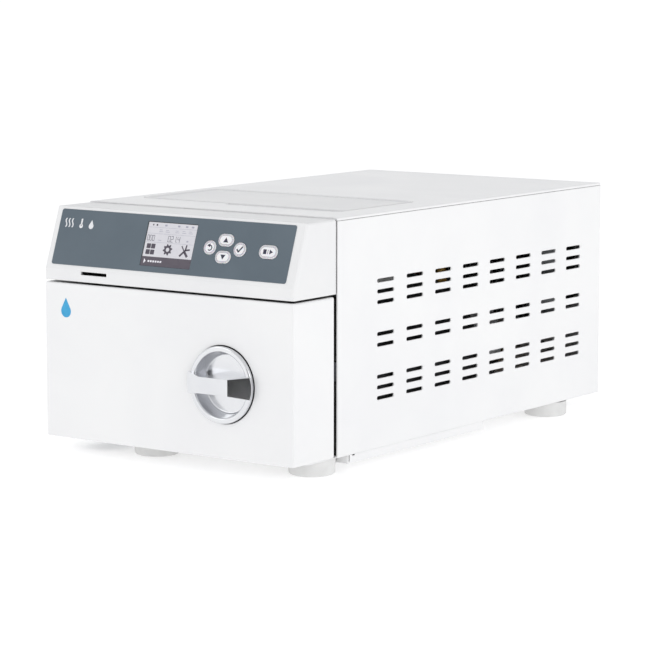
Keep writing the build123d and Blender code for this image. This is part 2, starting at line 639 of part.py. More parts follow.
CONDENSER_X = (4, 120)
CONDENSER_DEPTH = (405, 440)
CONDENSER_Z = (92, 206)
FIN_PITCH = 5.0
with BuildPart() as condenser:
    fin_count = int((CONDENSER_X[1] - CONDENSER_X[0]) / FIN_PITCH) + 1
    for fin in range(fin_count):
        fin_x = CONDENSER_X[0] + fin * FIN_PITCH
        slab((fin_x, fin_x + 0.8), CONDENSER_DEPTH, CONDENSER_Z)
    for pipe_z in (110, 130, 150, 170, 190):
        bar(422, pipe_z, (CONDENSER_X[0], CONDENSER_X[1] - 0.5), 4)
condenser.part.label = "condenser"
export_step(condenser.part, "parts/condenser.step")

FAN_DEPTH = (465.0, REAR_PANEL[0])
FAN_HALF = 46.0
FAN_BORE = 43.0
SHAFT_RADIUS = 2.0
with BuildPart() as fan_housing:
    fan_x, fan_z = FAN_PLACE
    slab((fan_x - FAN_HALF, fan_x + FAN_HALF), FAN_DEPTH, (fan_z - FAN_HALF, fan_z + FAN_HALF))
    fillet(fan_housing.edges().filter_by(Axis.Y), 4)
    drum(fan_x, fan_z, (460, 500), FAN_BORE, Mode.SUBTRACT)
    drum(fan_x, fan_z, (486, FAN_DEPTH[1]), 16)
    slab((fan_x - 44, fan_x + 44), (488, FAN_DEPTH[1]), (fan_z - 2.5, fan_z + 2.5))
    slab((fan_x - 2.5, fan_x + 2.5), (488, FAN_DEPTH[1]), (fan_z - 44, fan_z + 44))
    drum(fan_x, fan_z, (480, 490), SHAFT_RADIUS + RUNNING_GAP, Mode.SUBTRACT)
fan_housing.part.label = "fan_housing"
export_step(fan_housing.part, "parts/fan_housing.step")

BLADES = 7
with BuildPart() as fan_rotor:
    drum(fan_x, fan_z, (467, 484), 15.5)
    drum(fan_x, fan_z, (484, 489.5), SHAFT_RADIUS)
    for blade in range(BLADES):
        blade_turn = 2 * math.pi / BLADES * blade
        outward = (math.cos(blade_turn), 0, math.sin(blade_turn))
        blade_plane = Plane(origin=(fan_x, at(475.5), fan_z), x_dir=(0, 1, 0), z_dir=outward)
        with BuildSketch(blade_plane.offset(14)):
            Rectangle(1.6, 15, rotation=50)
        extrude(amount=27)
fan_rotor.part.label = "fan_rotor"
export_step(fan_rotor.part, "parts/fan_rotor.step")

with BuildPart() as valve_manifold:
    slab((-30, 40), (395, 455), (FOOT_HEIGHT, 34))
    for valve_x in (-17, 6, 29):
        post(valve_x, 425, (34, 62), 10.5)
        post(valve_x, 425, (62, 68), 5)
valve_manifold.part.label = "valve_manifold"
export_step(valve_manifold.part, "parts/valve_manifold.step")

with BuildPart() as safety_valve:
    with BuildSketch(Plane.XY.offset(132)):
        with Locations((CHAMBER_X, at(325))):
            RegularPolygon(9, 6)
    extrude(amount=12)
    post(CHAMBER_X, 325, (144, 168), 7)
    post(CHAMBER_X, 325, (168, 174), 3)
    drum(CHAMBER_X, CHAMBER_Z, (310, 340), VESSEL_OUTER, Mode.SUBTRACT)
safety_valve.part.label = "safety_valve"
export_step(safety_valve.part, "parts/safety_valve.step")

with BuildPart() as power_board:
    slab((-129, -127.4), (330, 470), (100, 200))
    slab((-127.4, -104), (340, 375), (150, 190))
    slab((-127.4, -112), (385, 430), (160, 192))
    for capacitor_depth in (350, 372, 394):
        bar(capacitor_depth, 125, (-127.4, -104), 9)
power_board.part.label = "power_board"
export_step(power_board.part, "parts/power_board.step")

with BuildPart() as air_filter:
    drum(*FILTER_PLACE, (446, 484), 22)
    drum(*FILTER_PLACE, (484, 496), 5)
    drum(*FILTER_PLACE, (440, 446), 5)
air_filter.part.label = "air_filter"
export_step(air_filter.part, "parts/air_filter.step")

PIPE_ROUTES = [
    [(-62, 130, 120), (-62, 130, 138), (-62, 335, 138), (32, 335, 138), (32, 335, 128.6)],
    [(CHAMBER_X, 360, CHAMBER_Z), (CHAMBER_X, 380, CHAMBER_Z), (CHAMBER_X, 380, 25),
     (CHAMBER_X, 425, 25), (40, 425, 25)],
    [(4, 430, 110), (-85, 430, 110), (-85, 430, 84)],
]
with BuildPart() as copper_pipes:
    for pipe_route in PIPE_ROUTES:
        tube(pipe_route, 4.5, 3.0)
copper_pipes.part.label = "copper_pipes"
export_step(copper_pipes.part, "parts/copper_pipes.step")

PIVOT_DEPTH = 489.0
PIVOT_RADIUS = 1.5
with BuildPart() as mains_inlet:
    slab((INLET_X - 14, INLET_X + 14), (470, REAR_FACE), INLET_Z)
    slab((INLET_X - 18, INLET_X + 18), (REAR_FACE, REAR_FACE + 2.2), (INLET_Z[0] - 4, INLET_Z[1] + 4))
    fillet(mains_inlet.faces().sort_by(Axis.Y)[-1].edges(), 1.5)
    slab((INLET_X - 12.2, INLET_X + 12.2), (478, 500), (SOCKET_Z - 8.3, SOCKET_Z + 8.3), Mode.SUBTRACT)
    for blade_x, blade_z in ((-7, -2), (7, -2), (0, 2)):
        centre_x = INLET_X + blade_x
        centre_z = SOCKET_Z + blade_z
        slab((centre_x - 1, centre_x + 1), (478, 493), (centre_z - 2, centre_z + 2))
    slab((INLET_X - 9, INLET_X + 9), (478, 500), (SWITCH_Z - 11.9, SWITCH_Z + 11.9), Mode.SUBTRACT)
    bar(PIVOT_DEPTH, SWITCH_Z, (INLET_X - 11.1, INLET_X + 11.1), PIVOT_RADIUS + RUNNING_GAP, Mode.SUBTRACT)
mains_inlet.part.label = "mains_inlet"
export_step(mains_inlet.part, "parts/mains_inlet.step")

ROCKER_TILT = 8.0
with BuildPart() as switch_rocker:
    tilt = math.radians(ROCKER_TILT)
    rocker_plane = Plane(
        origin=(INLET_X - 8.6, at(PIVOT_DEPTH), SWITCH_Z),
        x_dir=(0, math.cos(tilt), math.sin(tilt)),
        z_dir=(1, 0, 0),
    )
    with BuildSketch(rocker_plane):
        with BuildLine():
            Polyline((-3, -8), (4, -10.5), (5.5, 0), (4, 10.5), (-3, 8), close=True)
        make_face()
    extrude(amount=17.2)
    bar(PIVOT_DEPTH, SWITCH_Z, (INLET_X - 11, INLET_X + 11), PIVOT_RADIUS)
switch_rocker.part.label = "switch_rocker"
export_step(switch_rocker.part, "parts/switch_rocker.step")

LEVER_DEPTH = 497.4
STEM_RADIUS = 2.0
LEVER_HALF = 2.8
LEVER_REACH = 17.0
with BuildPart() as drain_cocks:
    for drain_x, drain_z in DRAIN_PLACES.values():
        drum(drain_x, drain_z, (478, REAR_FACE), DRAIN_TAIL_RADIUS)
        slab((drain_x - 8, drain_x + 8), (REAR_FACE, 501), (drain_z - 8, drain_z + 7))
        drum(drain_x, drain_z, (501, BODY_DEPTH + REAR_PROUD), 4)
        drum(drain_x, drain_z, (477, BODY_DEPTH + REAR_PROUD + 1), 2.2, Mode.SUBTRACT)
        post(drain_x, LEVER_DEPTH, (drain_z + 3.9, drain_z + 8), STEM_RADIUS + RUNNING_GAP, Mode.SUBTRACT)
drain_cocks.part.label = "drain_cocks"
export_step(drain_cocks.part, "parts/drain_cocks.step")

for drain_name, (drain_x, drain_z) in DRAIN_PLACES.items():
    with BuildPart() as lever:
        post(drain_x, LEVER_DEPTH, (drain_z + 4.1, drain_z + 9.5), STEM_RADIUS)
        lever_z = (drain_z + 7.3, drain_z + 9.5)
        post(drain_x, LEVER_DEPTH, lever_z, LEVER_HALF)
        lever_depth = (LEVER_DEPTH - LEVER_HALF, LEVER_DEPTH + LEVER_HALF)
        slab((drain_x, drain_x + LEVER_REACH), lever_depth, lever_z)
        fillet(lever.edges().filter_by(Axis.Z).sort_by(Axis.X)[-2:], 2.0)
    lever.part.label = f"drain_lever_{drain_name}"
    export_step(lever.part, f"parts/drain_lever_{drain_name}.step")

# ================= door hinge and lock, fixed side =================

BRACKET_TOP = 159.4
with BuildPart() as hinge_brackets:
    slab((-131, -96), (38, 88), (PLATE_Z - 3, PLATE_Z))
    slab((-131, -100), (41, 56), (BRACKET_TOP - 3, BRACKET_TOP))
    slab((-128, -100), (55, FRAME_DEPTH[0]), (BRACKET_TOP - 3, BRACKET_TOP))
    slab((-128, -100), (FRAME_DEPTH[0] - 3, FRAME_DEPTH[0]), (BRACKET_TOP - 3, 176))
    post(HINGE_X, HINGE_DEPTH, (0, 170), HINGE_PIN_RADIUS, Mode.SUBTRACT)
hinge_brackets.part.label = "hinge_brackets"
export_step(hinge_brackets.part, "parts/hinge_brackets.step")

with BuildPart() as hinge_pins:
    post(HINGE_X, HINGE_DEPTH, (PLATE_Z - 3, 36), HINGE_PIN_RADIUS)
    post(HINGE_X, HINGE_DEPTH, (BRACKET_TOP - 25.2, BRACKET_TOP), HINGE_PIN_RADIUS)
    fillet(hinge_pins.edges().filter_by(GeomType.CIRCLE).sort_by(Axis.Z)[1:3], 0.5)
hinge_pins.part.label = "hinge_pins"
export_step(hinge_pins.part, "parts/hinge_pins.step")

BOLT_Z = 9.0
BOLT_HALF = 4.0
BOLT_DEPTH = (38.0, 44.0)
BOLT_REACH = 62.5
KEEPER_INNER = 64.5
KEEPER_THICK = 2.5
with BuildPart() as lock_keepers:
    for side in (-1, 1):
        plate_x = (CHAMBER_X + side * KEEPER_INNER, CHAMBER_X + side * (KEEPER_INNER + KEEPER_THICK))
        keeper_z = CHAMBER_Z + side * BOLT_Z
        slab(plate_x, (36, FRAME_DEPTH[0]), (keeper_z - 8, keeper_z + 8))
        foot_x = (plate_x[1], plate_x[1] + side * 3.1)
        slab(foot_x, (FRAME_DEPTH[0] - 2, FRAME_DEPTH[0]), (keeper_z - 8, keeper_z + 8))
        window = (keeper_z - BOLT_HALF - 0.3, keeper_z + BOLT_HALF + 0.3)
        slab(plate_x, (BOLT_DEPTH[0] - 0.3, BOLT_DEPTH[1] + 0.3), window, Mode.SUBTRACT)
lock_keepers.part.label = "lock_keepers"
export_step(lock_keepers.part, "parts/lock_keepers.step")

# ================= door =================

DOOR_BOTTOM = FOOT_HEIGHT + DOOR_GAP
DOOR_WALL = 2.0
BACK_PLATE = (54.3, DOOR_DEPTH)
with BuildPart() as door_shell:
    slab((-HALF, HALF), (0, DOOR_DEPTH), (DOOR_BOTTOM, DOOR_TOP))
    fillet(door_shell.edges().filter_by(Axis.Y), 2.0)
    fillet(door_shell.faces().sort_by(Axis.Y)[0].edges(), 1.6)
    slab(
        (-HALF + DOOR_WALL, HALF - DOOR_WALL),
        (DOOR_WALL, DOOR_DEPTH + 1),
        (DOOR_BOTTOM + DOOR_WALL, DOOR_TOP - DOOR_WALL),
        Mode.SUBTRACT,
    )
    drum(CHAMBER_X, CHAMBER_Z, (-1, 3), KNOB_RADIUS + KNOB_GAP, Mode.SUBTRACT)
    post(HINGE_X, HINGE_DEPTH, (DOOR_BOTTOM - 1, DOOR_TOP + 1), HINGE_PIN_RADIUS + 1, Mode.SUBTRACT)
door_shell.part.label = "door_shell"
export_step(door_shell.part, "parts/door_shell.step")

with BuildPart() as door_back_plate:
    slab((-132.9, 132.9), BACK_PLATE, (DOOR_BOTTOM + 2.1, DOOR_TOP - 2.1))
    for side in (-1, 1):
        slot_x = (
            CHAMBER_X + side * (KEEPER_INNER - 3),
            CHAMBER_X + side * (KEEPER_INNER + KEEPER_THICK + 3),
        )
        slot_z = CHAMBER_Z + side * BOLT_Z
        slab(slot_x, (50, 60), (slot_z - 10, slot_z + 10), Mode.SUBTRACT)
door_back_plate.part.label = "door_back_plate"
export_step(door_back_plate.part, "parts/door_back_plate.step")

DISC_REAR = 60.7
GROOVE = (55.5, 59.5)
with BuildPart() as pressure_disc:
    turned([
        (0, DOOR_DEPTH), (61, DOOR_DEPTH), (61, DISC_REAR), (GROOVE[1], DISC_REAR),
        (GROOVE[1], 58), (GROOVE[0], 58), (GROOVE[0], DISC_REAR), (50, DISC_REAR),
        (46, 62.5), (12, 62.5), (10, 61.5), (0, 61.5),
    ])
pressure_disc.part.label = "pressure_disc"
export_step(pressure_disc.part, "parts/pressure_disc.step")

with BuildPart() as door_gasket:
    turned([
        (GROOVE[0], 58), (GROOVE[1], 58), (GROOVE[1], 60.9),
        (GROOVE[1] - 0.5, 61.4), (GROOVE[0] + 0.5, 61.4), (GROOVE[0], 60.9),
    ])
door_gasket.part.label = "door_gasket"
export_step(door_gasket.part, "parts/door_gasket.step")

with BuildPart() as door_hinge_blocks:
    slab((-132.9, -119), (41, BACK_PLATE[0]), (DOOR_BOTTOM + 2.1, 38))
    slab((-132.9, -119), (41, BACK_PLATE[0]), (129.5, DOOR_TOP - 2.1))
    bore = HINGE_PIN_RADIUS + RUNNING_GAP
    post(HINGE_X, HINGE_DEPTH, (DOOR_BOTTOM, 36.5), bore, Mode.SUBTRACT)
    post(HINGE_X, HINGE_DEPTH, (BRACKET_TOP - 25.7, DOOR_TOP), bore, Mode.SUBTRACT)
door_hinge_blocks.part.label = "door_hinge_blocks"
export_step(door_hinge_blocks.part, "parts/door_hinge_blocks.step")

SPINDLE_RADIUS = 5.0
CHASSIS = (31.0, 33.0)
with BuildPart() as lock_chassis:
    slab((CHAMBER_X - 60, CHAMBER_X + 59), CHASSIS, (CHAMBER_Z - 34, CHAMBER_Z + 34))
    drum(CHAMBER_X, CHAMBER_Z, (24, CHASSIS[1]), 9)
    drum(CHAMBER_X, CHAMBER_Z, (20, 40), SPINDLE_RADIUS + RUNNING_GAP, Mode.SUBTRACT)
    for post_x in (-50, 50):
        for post_z in (-28, 28):
            drum(CHAMBER_X + post_x, CHAMBER_Z + post_z, (CHASSIS[1], BACK_PLATE[0]), 4)
    # two guides hold each bolt, the upper one on the right and the lower on the left
    for side in (-1, 1):
        guide_z = CHAMBER_Z + side * BOLT_Z
        for guide in (28, 50):
            guide_x = (CHAMBER_X + side * guide, CHAMBER_X + side * (guide + 8))
            slab(guide_x, (CHASSIS[1], 46), (guide_z - 7.4, guide_z + 7.4))
            channel = (guide_z - BOLT_HALF - 0.1, guide_z + BOLT_HALF + 0.1)
            slab(guide_x, (BOLT_DEPTH[0] - 0.1, BOLT_DEPTH[1] + 0.1), channel, Mode.SUBTRACT)
lock_chassis.part.label = "lock_chassis"
export_step(lock_chassis.part, "parts/lock_chassis.step")

# ---- rotary knob, spindle and pinion ----
BOWL_FLOOR = 8.0
DIAL_REAR = 13.0
RIM_FRONT = -4.0
RIM_ROUND = 1.5
BOWL_MOUTH = 27.8
BOWL_FOOT = 25.5
FLOOR_ROUND = 1.3
with BuildPart() as knob_dial:
    with BuildSketch(Plane.XY.offset(CHAMBER_Z)):
        with BuildLine():
            rim_outer = CHAMBER_X + KNOB_RADIUS
            rim_inner = CHAMBER_X + BOWL_MOUTH
            foot_x = CHAMBER_X + BOWL_FOOT
            Polyline(
                (CHAMBER_X, at(BOWL_FLOOR)),
                (CHAMBER_X, at(DIAL_REAR)),
                (rim_outer, at(DIAL_REAR)),
                (rim_outer, at(RIM_FRONT + RIM_ROUND)),
            )
            JernArc((rim_outer, at(RIM_FRONT + RIM_ROUND)), (0, -1), RIM_ROUND, -90)
            Line((rim_outer - RIM_ROUND, at(RIM_FRONT)), (rim_inner + RIM_ROUND, at(RIM_FRONT)))
            JernArc((rim_inner + RIM_ROUND, at(RIM_FRONT)), (-1, 0), RIM_ROUND, -90)
            Line((rim_inner, at(RIM_FRONT + RIM_ROUND)), (foot_x, at(BOWL_FLOOR - FLOOR_ROUND)))
            ThreePointArc(
                (foot_x, at(BOWL_FLOOR - FLOOR_ROUND)),
                (foot_x - 0.4, at(BOWL_FLOOR - 0.4)),
                (foot_x - FLOOR_ROUND, at(BOWL_FLOOR)),
            )
            Line((foot_x - FLOOR_ROUND, at(BOWL_FLOOR)), (CHAMBER_X, at(BOWL_FLOOR)))
        make_face()
    revolve(axis=CHAMBER_AXIS)
    drum(CHAMBER_X, CHAMBER_Z, (DIAL_REAR, 22), 12)
    drum(CHAMBER_X, CHAMBER_Z, (12, 23), SPINDLE_RADIUS, Mode.SUBTRACT)
knob_dial.part.label = "knob_dial"
export_step(knob_dial.part, "parts/knob_dial.step")

GRIP_RIDGE = 15.0
GRIP_SEAT = 29.0
GRIP_END = 34.0
WAIST_HALF = 7.0
END_HALF = 9.6
END_FRONT = -5.5
with BuildPart() as knob_grip:
    grip_face = Plane(origin=(CHAMBER_X, at(BOWL_FLOOR), CHAMBER_Z), x_dir=(1, 0, 0), z_dir=(0, -1, 0))
    with BuildSketch(grip_face):
        with BuildLine():
            Polyline(
                (-GRIP_END, -END_HALF), (-GRIP_RIDGE, -WAIST_HALF), (GRIP_RIDGE, -WAIST_HALF),
                (GRIP_END, -END_HALF), (GRIP_END, END_HALF), (GRIP_RIDGE, WAIST_HALF),
                (-GRIP_RIDGE, WAIST_HALF), (-GRIP_END, END_HALF),
                close=True,
            )
        make_face()
        Circle(GRIP_END, mode=Mode.INTERSECT)
    extrude(amount=BOWL_FLOOR + KNOB_PROUD)
    # seen from above: a flat ridge, facets down to the ends, and ends that rest on the rim
    with BuildSketch(Plane.XY.offset(CHAMBER_Z - END_HALF - 1)):
        with BuildLine():
            Polyline(
                (CHAMBER_X - GRIP_END, at(END_FRONT)),
                (CHAMBER_X - GRIP_RIDGE, at(-KNOB_PROUD)),
                (CHAMBER_X + GRIP_RIDGE, at(-KNOB_PROUD)),
                (CHAMBER_X + GRIP_END, at(END_FRONT)),
                (CHAMBER_X + GRIP_END, at(RIM_FRONT)),
                (CHAMBER_X + GRIP_SEAT, at(RIM_FRONT)),
                (CHAMBER_X + GRIP_SEAT, at(BOWL_FLOOR)),
                (CHAMBER_X - GRIP_SEAT, at(BOWL_FLOOR)),
                (CHAMBER_X - GRIP_SEAT, at(RIM_FRONT)),
                (CHAMBER_X - GRIP_END, at(RIM_FRONT)),
                close=True,
            )
        make_face()
    extrude(amount=2 * END_HALF + 2, mode=Mode.INTERSECT)
    add(knob_dial.part, mode=Mode.SUBTRACT)
knob_grip.part.label = "knob_grip"
export_step(knob_grip.part, "parts/knob_grip.step")

TOOTH_ROOT = 1.7
TOOTH_TIP = 0.7
PINION_ROOT = 3.0
PINION_TIP = 4.75
with BuildPart() as knob_spindle:
    drum(CHAMBER_X, CHAMBER_Z, (12, 36), SPINDLE_RADIUS)
    drum(CHAMBER_X, CHAMBER_Z, (36, 50), PINION_ROOT)
    pinion_front = (CHAMBER_X, at(BOLT_DEPTH[1] + 0.5), CHAMBER_Z)
    pinion_face = Plane(origin=pinion_front, x_dir=(1, 0, 0), z_dir=(0, -1, 0))
    with BuildSketch(pinion_face):
        with PolarLocations(0, PINION_TEETH):
            with BuildLine():
                Polyline(
                    (PINION_ROOT - 0.6, -TOOTH_ROOT / 2),
                    (PINION_TIP, -TOOTH_TIP / 2),
                    (PINION_TIP, TOOTH_TIP / 2),
                    (PINION_ROOT - 0.6, TOOTH_ROOT / 2),
                    close=True,
                )
            make_face()
    extrude(amount=BOLT_DEPTH[1] - BOLT_DEPTH[0] + 1)
knob_spindle.part.label = "knob_spindle"
export_step(knob_spindle.part, "parts/knob_spindle.step")

TOOTH_PITCH = 2 * math.pi * PINION_RADIUS / PINION_TEETH
RACK_LINE = BOLT_Z - BOLT_HALF
RACK_TIP = 3.2
RACK_TEETH = 6
for side, side_name in ((1, "right"), (-1, "left")):
    with BuildPart() as bolt:
        bolt_z = CHAMBER_Z + side * BOLT_Z
        bolt_x = (CHAMBER_X - side * 12.5, CHAMBER_X + side * BOLT_REACH)
        slab(bolt_x, BOLT_DEPTH, (bolt_z - BOLT_HALF, bolt_z + BOLT_HALF))
        nose = bolt.faces().sort_by(Axis.X)[-1 if side > 0 else 0]
        chamfer(nose.edges(), 1.2)
        rack_face = Plane(
            origin=(CHAMBER_X, at(BOLT_DEPTH[1]), CHAMBER_Z), x_dir=(1, 0, 0), z_dir=(0, -1, 0)
        )
        with BuildSketch(rack_face):
            for tooth in range(RACK_TEETH):
                tooth_x = side * (1.5 - tooth) * TOOTH_PITCH
                with BuildLine():
                    Polyline(
                        (tooth_x - TOOTH_ROOT / 2, side * (RACK_LINE + 0.2)),
                        (tooth_x - TOOTH_TIP / 2, side * RACK_TIP),
                        (tooth_x + TOOTH_TIP / 2, side * RACK_TIP),
                        (tooth_x + TOOTH_ROOT / 2, side * (RACK_LINE + 0.2)),
                        close=True,
                    )
                make_face()
        extrude(amount=BOLT_DEPTH[1] - BOLT_DEPTH[0])
    bolt.part.label = f"lock_bolt_{side_name}"
    export_step(bolt.part, f"parts/lock_bolt_{side_name}.step")
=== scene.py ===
import json
import math

import bmesh
import bpy
from mathutils import Matrix, Vector


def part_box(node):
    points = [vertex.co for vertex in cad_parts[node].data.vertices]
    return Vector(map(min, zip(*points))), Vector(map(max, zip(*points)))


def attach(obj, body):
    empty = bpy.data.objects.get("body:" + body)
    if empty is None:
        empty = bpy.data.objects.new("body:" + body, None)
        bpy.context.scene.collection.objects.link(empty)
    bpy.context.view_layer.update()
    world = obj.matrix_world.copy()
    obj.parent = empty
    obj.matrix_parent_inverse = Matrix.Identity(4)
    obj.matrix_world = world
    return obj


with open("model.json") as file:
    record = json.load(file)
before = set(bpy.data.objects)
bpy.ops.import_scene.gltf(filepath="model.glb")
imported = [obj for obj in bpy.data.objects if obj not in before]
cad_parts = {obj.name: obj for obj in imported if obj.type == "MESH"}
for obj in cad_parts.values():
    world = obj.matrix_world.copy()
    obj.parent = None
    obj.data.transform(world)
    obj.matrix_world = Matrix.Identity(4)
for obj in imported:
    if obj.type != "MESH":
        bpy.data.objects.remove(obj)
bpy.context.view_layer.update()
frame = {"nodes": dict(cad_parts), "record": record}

MM = 0.001
SCENE = bpy.context.scene
SLOTS = {part["node"]: part["material_slot"] for part in frame["record"]["subparts"]}

# ================= camera, lights and floor =================

CAMERA_PLACE = (1.46712, -2.04637, 0.44061)
CAMERA_AZIMUTH = 35.9061
CAMERA_PITCH = 7.7259
CAMERA_LENS = 154.379
SKY_COLOUR = (0.985, 0.99, 1.0, 1.0)


def add_camera():
    data = bpy.data.cameras.new("camera")
    data.sensor_width = 36.0
    data.lens = CAMERA_LENS
    data.clip_end = 100.0
    camera = bpy.data.objects.new("camera", data)
    camera.location = CAMERA_PLACE
    camera.rotation_euler = (math.radians(90 - CAMERA_PITCH), 0, math.radians(CAMERA_AZIMUTH))
    SCENE.collection.objects.link(camera)
    SCENE.camera = camera


def add_softbox(name, place, aim, width, height, watts):
    """A rectangular soft light at a place, turned towards a point."""
    data = bpy.data.lights.new(name, "AREA")
    data.shape = "RECTANGLE"
    data.size = width
    data.size_y = height
    data.energy = watts
    light = bpy.data.objects.new(name, data)
    light.location = place
    light.rotation_euler = (Vector(aim) - Vector(place)).to_track_quat("-Z", "Y").to_euler()
    SCENE.collection.objects.link(light)


def add_sky(horizon, overhead):
    """A studio dome, with its strength at and below the horizon, and straight overhead."""
    world = bpy.data.worlds.new("studio")
    world.use_nodes = True
    tree = world.node_tree
    background = tree.nodes["Background"]
    place = tree.nodes.new("ShaderNodeTexCoord")
    split = tree.nodes.new("ShaderNodeSeparateXYZ")
    height = tree.nodes.new("ShaderNodeMapRange")
    height.inputs["To Min"].default_value = horizon
    height.inputs["To Max"].default_value = overhead
    tree.links.new(place.outputs["Generated"], split.inputs[0])
    tree.links.new(split.outputs["Z"], height.inputs["Value"])
    tree.links.new(height.outputs[0], background.inputs["Strength"])
    background.inputs["Color"].default_value = SKY_COLOUR
    SCENE.world = world


def stage_plate(name, corners, material):
    """One flat four-cornered piece of the studio, not part of the object."""
    form = bmesh.new()
    form.faces.new([form.verts.new(corner) for corner in corners])
    mesh = bpy.data.meshes.new(name)
    form.to_mesh(mesh)
    form.free()
    mesh.materials.append(material)
    piece = bpy.data.objects.new(name, mesh)
    SCENE.collection.objects.link(piece)
    return piece


# ================= materials =================


class Tree:
    """Short ways to add and join the nodes of one material."""

    def __init__(self, name):
        self.material = bpy.data.materials.new(name)
        self.material.use_nodes = True
        self.nodes = self.material.node_tree.nodes
        self.links = self.material.node_tree.links
        self.shader = self.nodes["Principled BSDF"]

    def add(self, kind, **settings):
        """A node. Names with set_ are its own settings, and others are sockets, given a value or joined."""
        node = self.nodes.new("ShaderNode" + kind)
        for name, value in settings.items():
            if name.startswith("set_"):
                setattr(node, name[4:], value)
        for name, value in settings.items():
            if not name.startswith("set_"):
                self.put(node.inputs[name.replace("_", " ")], value)
        return node

    def put(self, socket, value):
        if isinstance(value, bpy.types.NodeSocket):
            self.links.new(value, socket)
        else:
            socket.default_value = value

    def maths(self, operation, first, second=0.0):
        node = self.nodes.new("ShaderNodeMath")
        node.operation = operation
        self.put(node.inputs[0], first)
        self.put(node.inputs[1], second)
        return node.outputs[0]

    def spread(self, value, low, high, to_low, to_high):
        node = self.add(
            "MapRange", Value=value, From_Min=low, From_Max=high, To_Min=to_low, To_Max=to_high
        )
        return node.outputs[0]

    def blend(self, amount, first, second):
        node = self.add("Mix", set_data_type="RGBA")
        self.put(node.inputs[0], amount)
        self.put(node.inputs[6], first)
        self.put(node.inputs[7], second)
        return node.outputs[2]

    def noise(self, vector, scale, detail=3.0, distortion=0.0):
        node = self.add(
            "TexNoise", Vector=vector, Scale=scale, Detail=detail, Distortion=distortion
        )
        return node.outputs[0]


def rgb(red, green, blue):
    """A shader colour from display values between 0 and 255."""
    linear = []
    for value in (red, green, blue):
        share = value / 255
        linear.append(share / 12.92 if share <= 0.04045 else ((share + 0.055) / 1.055) ** 2.4)
    return (*linear, 1.0)


# The part of a noise's range that is spread over a whole blend
NOISE_SPREAD = (0.35, 0.65)
# How far the rounded normal turns from the flat one, where the painted edge shading starts and where it is
# full
EDGE_TURN = (0.99, 0.86)
# Noise scale and range that break up the painted edge shading
EDGE_BREAKS = 160.0
EDGE_BREAK_SPREAD = (0.4, 0.62)
# In metres, how near other faces count for the painted crevice shade, and the heights over which that
# painted shade fades out
PAINTED_SHADE_REACH = 0.006
LID_SEAM = (0.2152, 0.2156)
# The open share at which the painted crevice shade starts, and at which it is full
PAINTED_SHADE_SHARES = (0.4, 0.12)


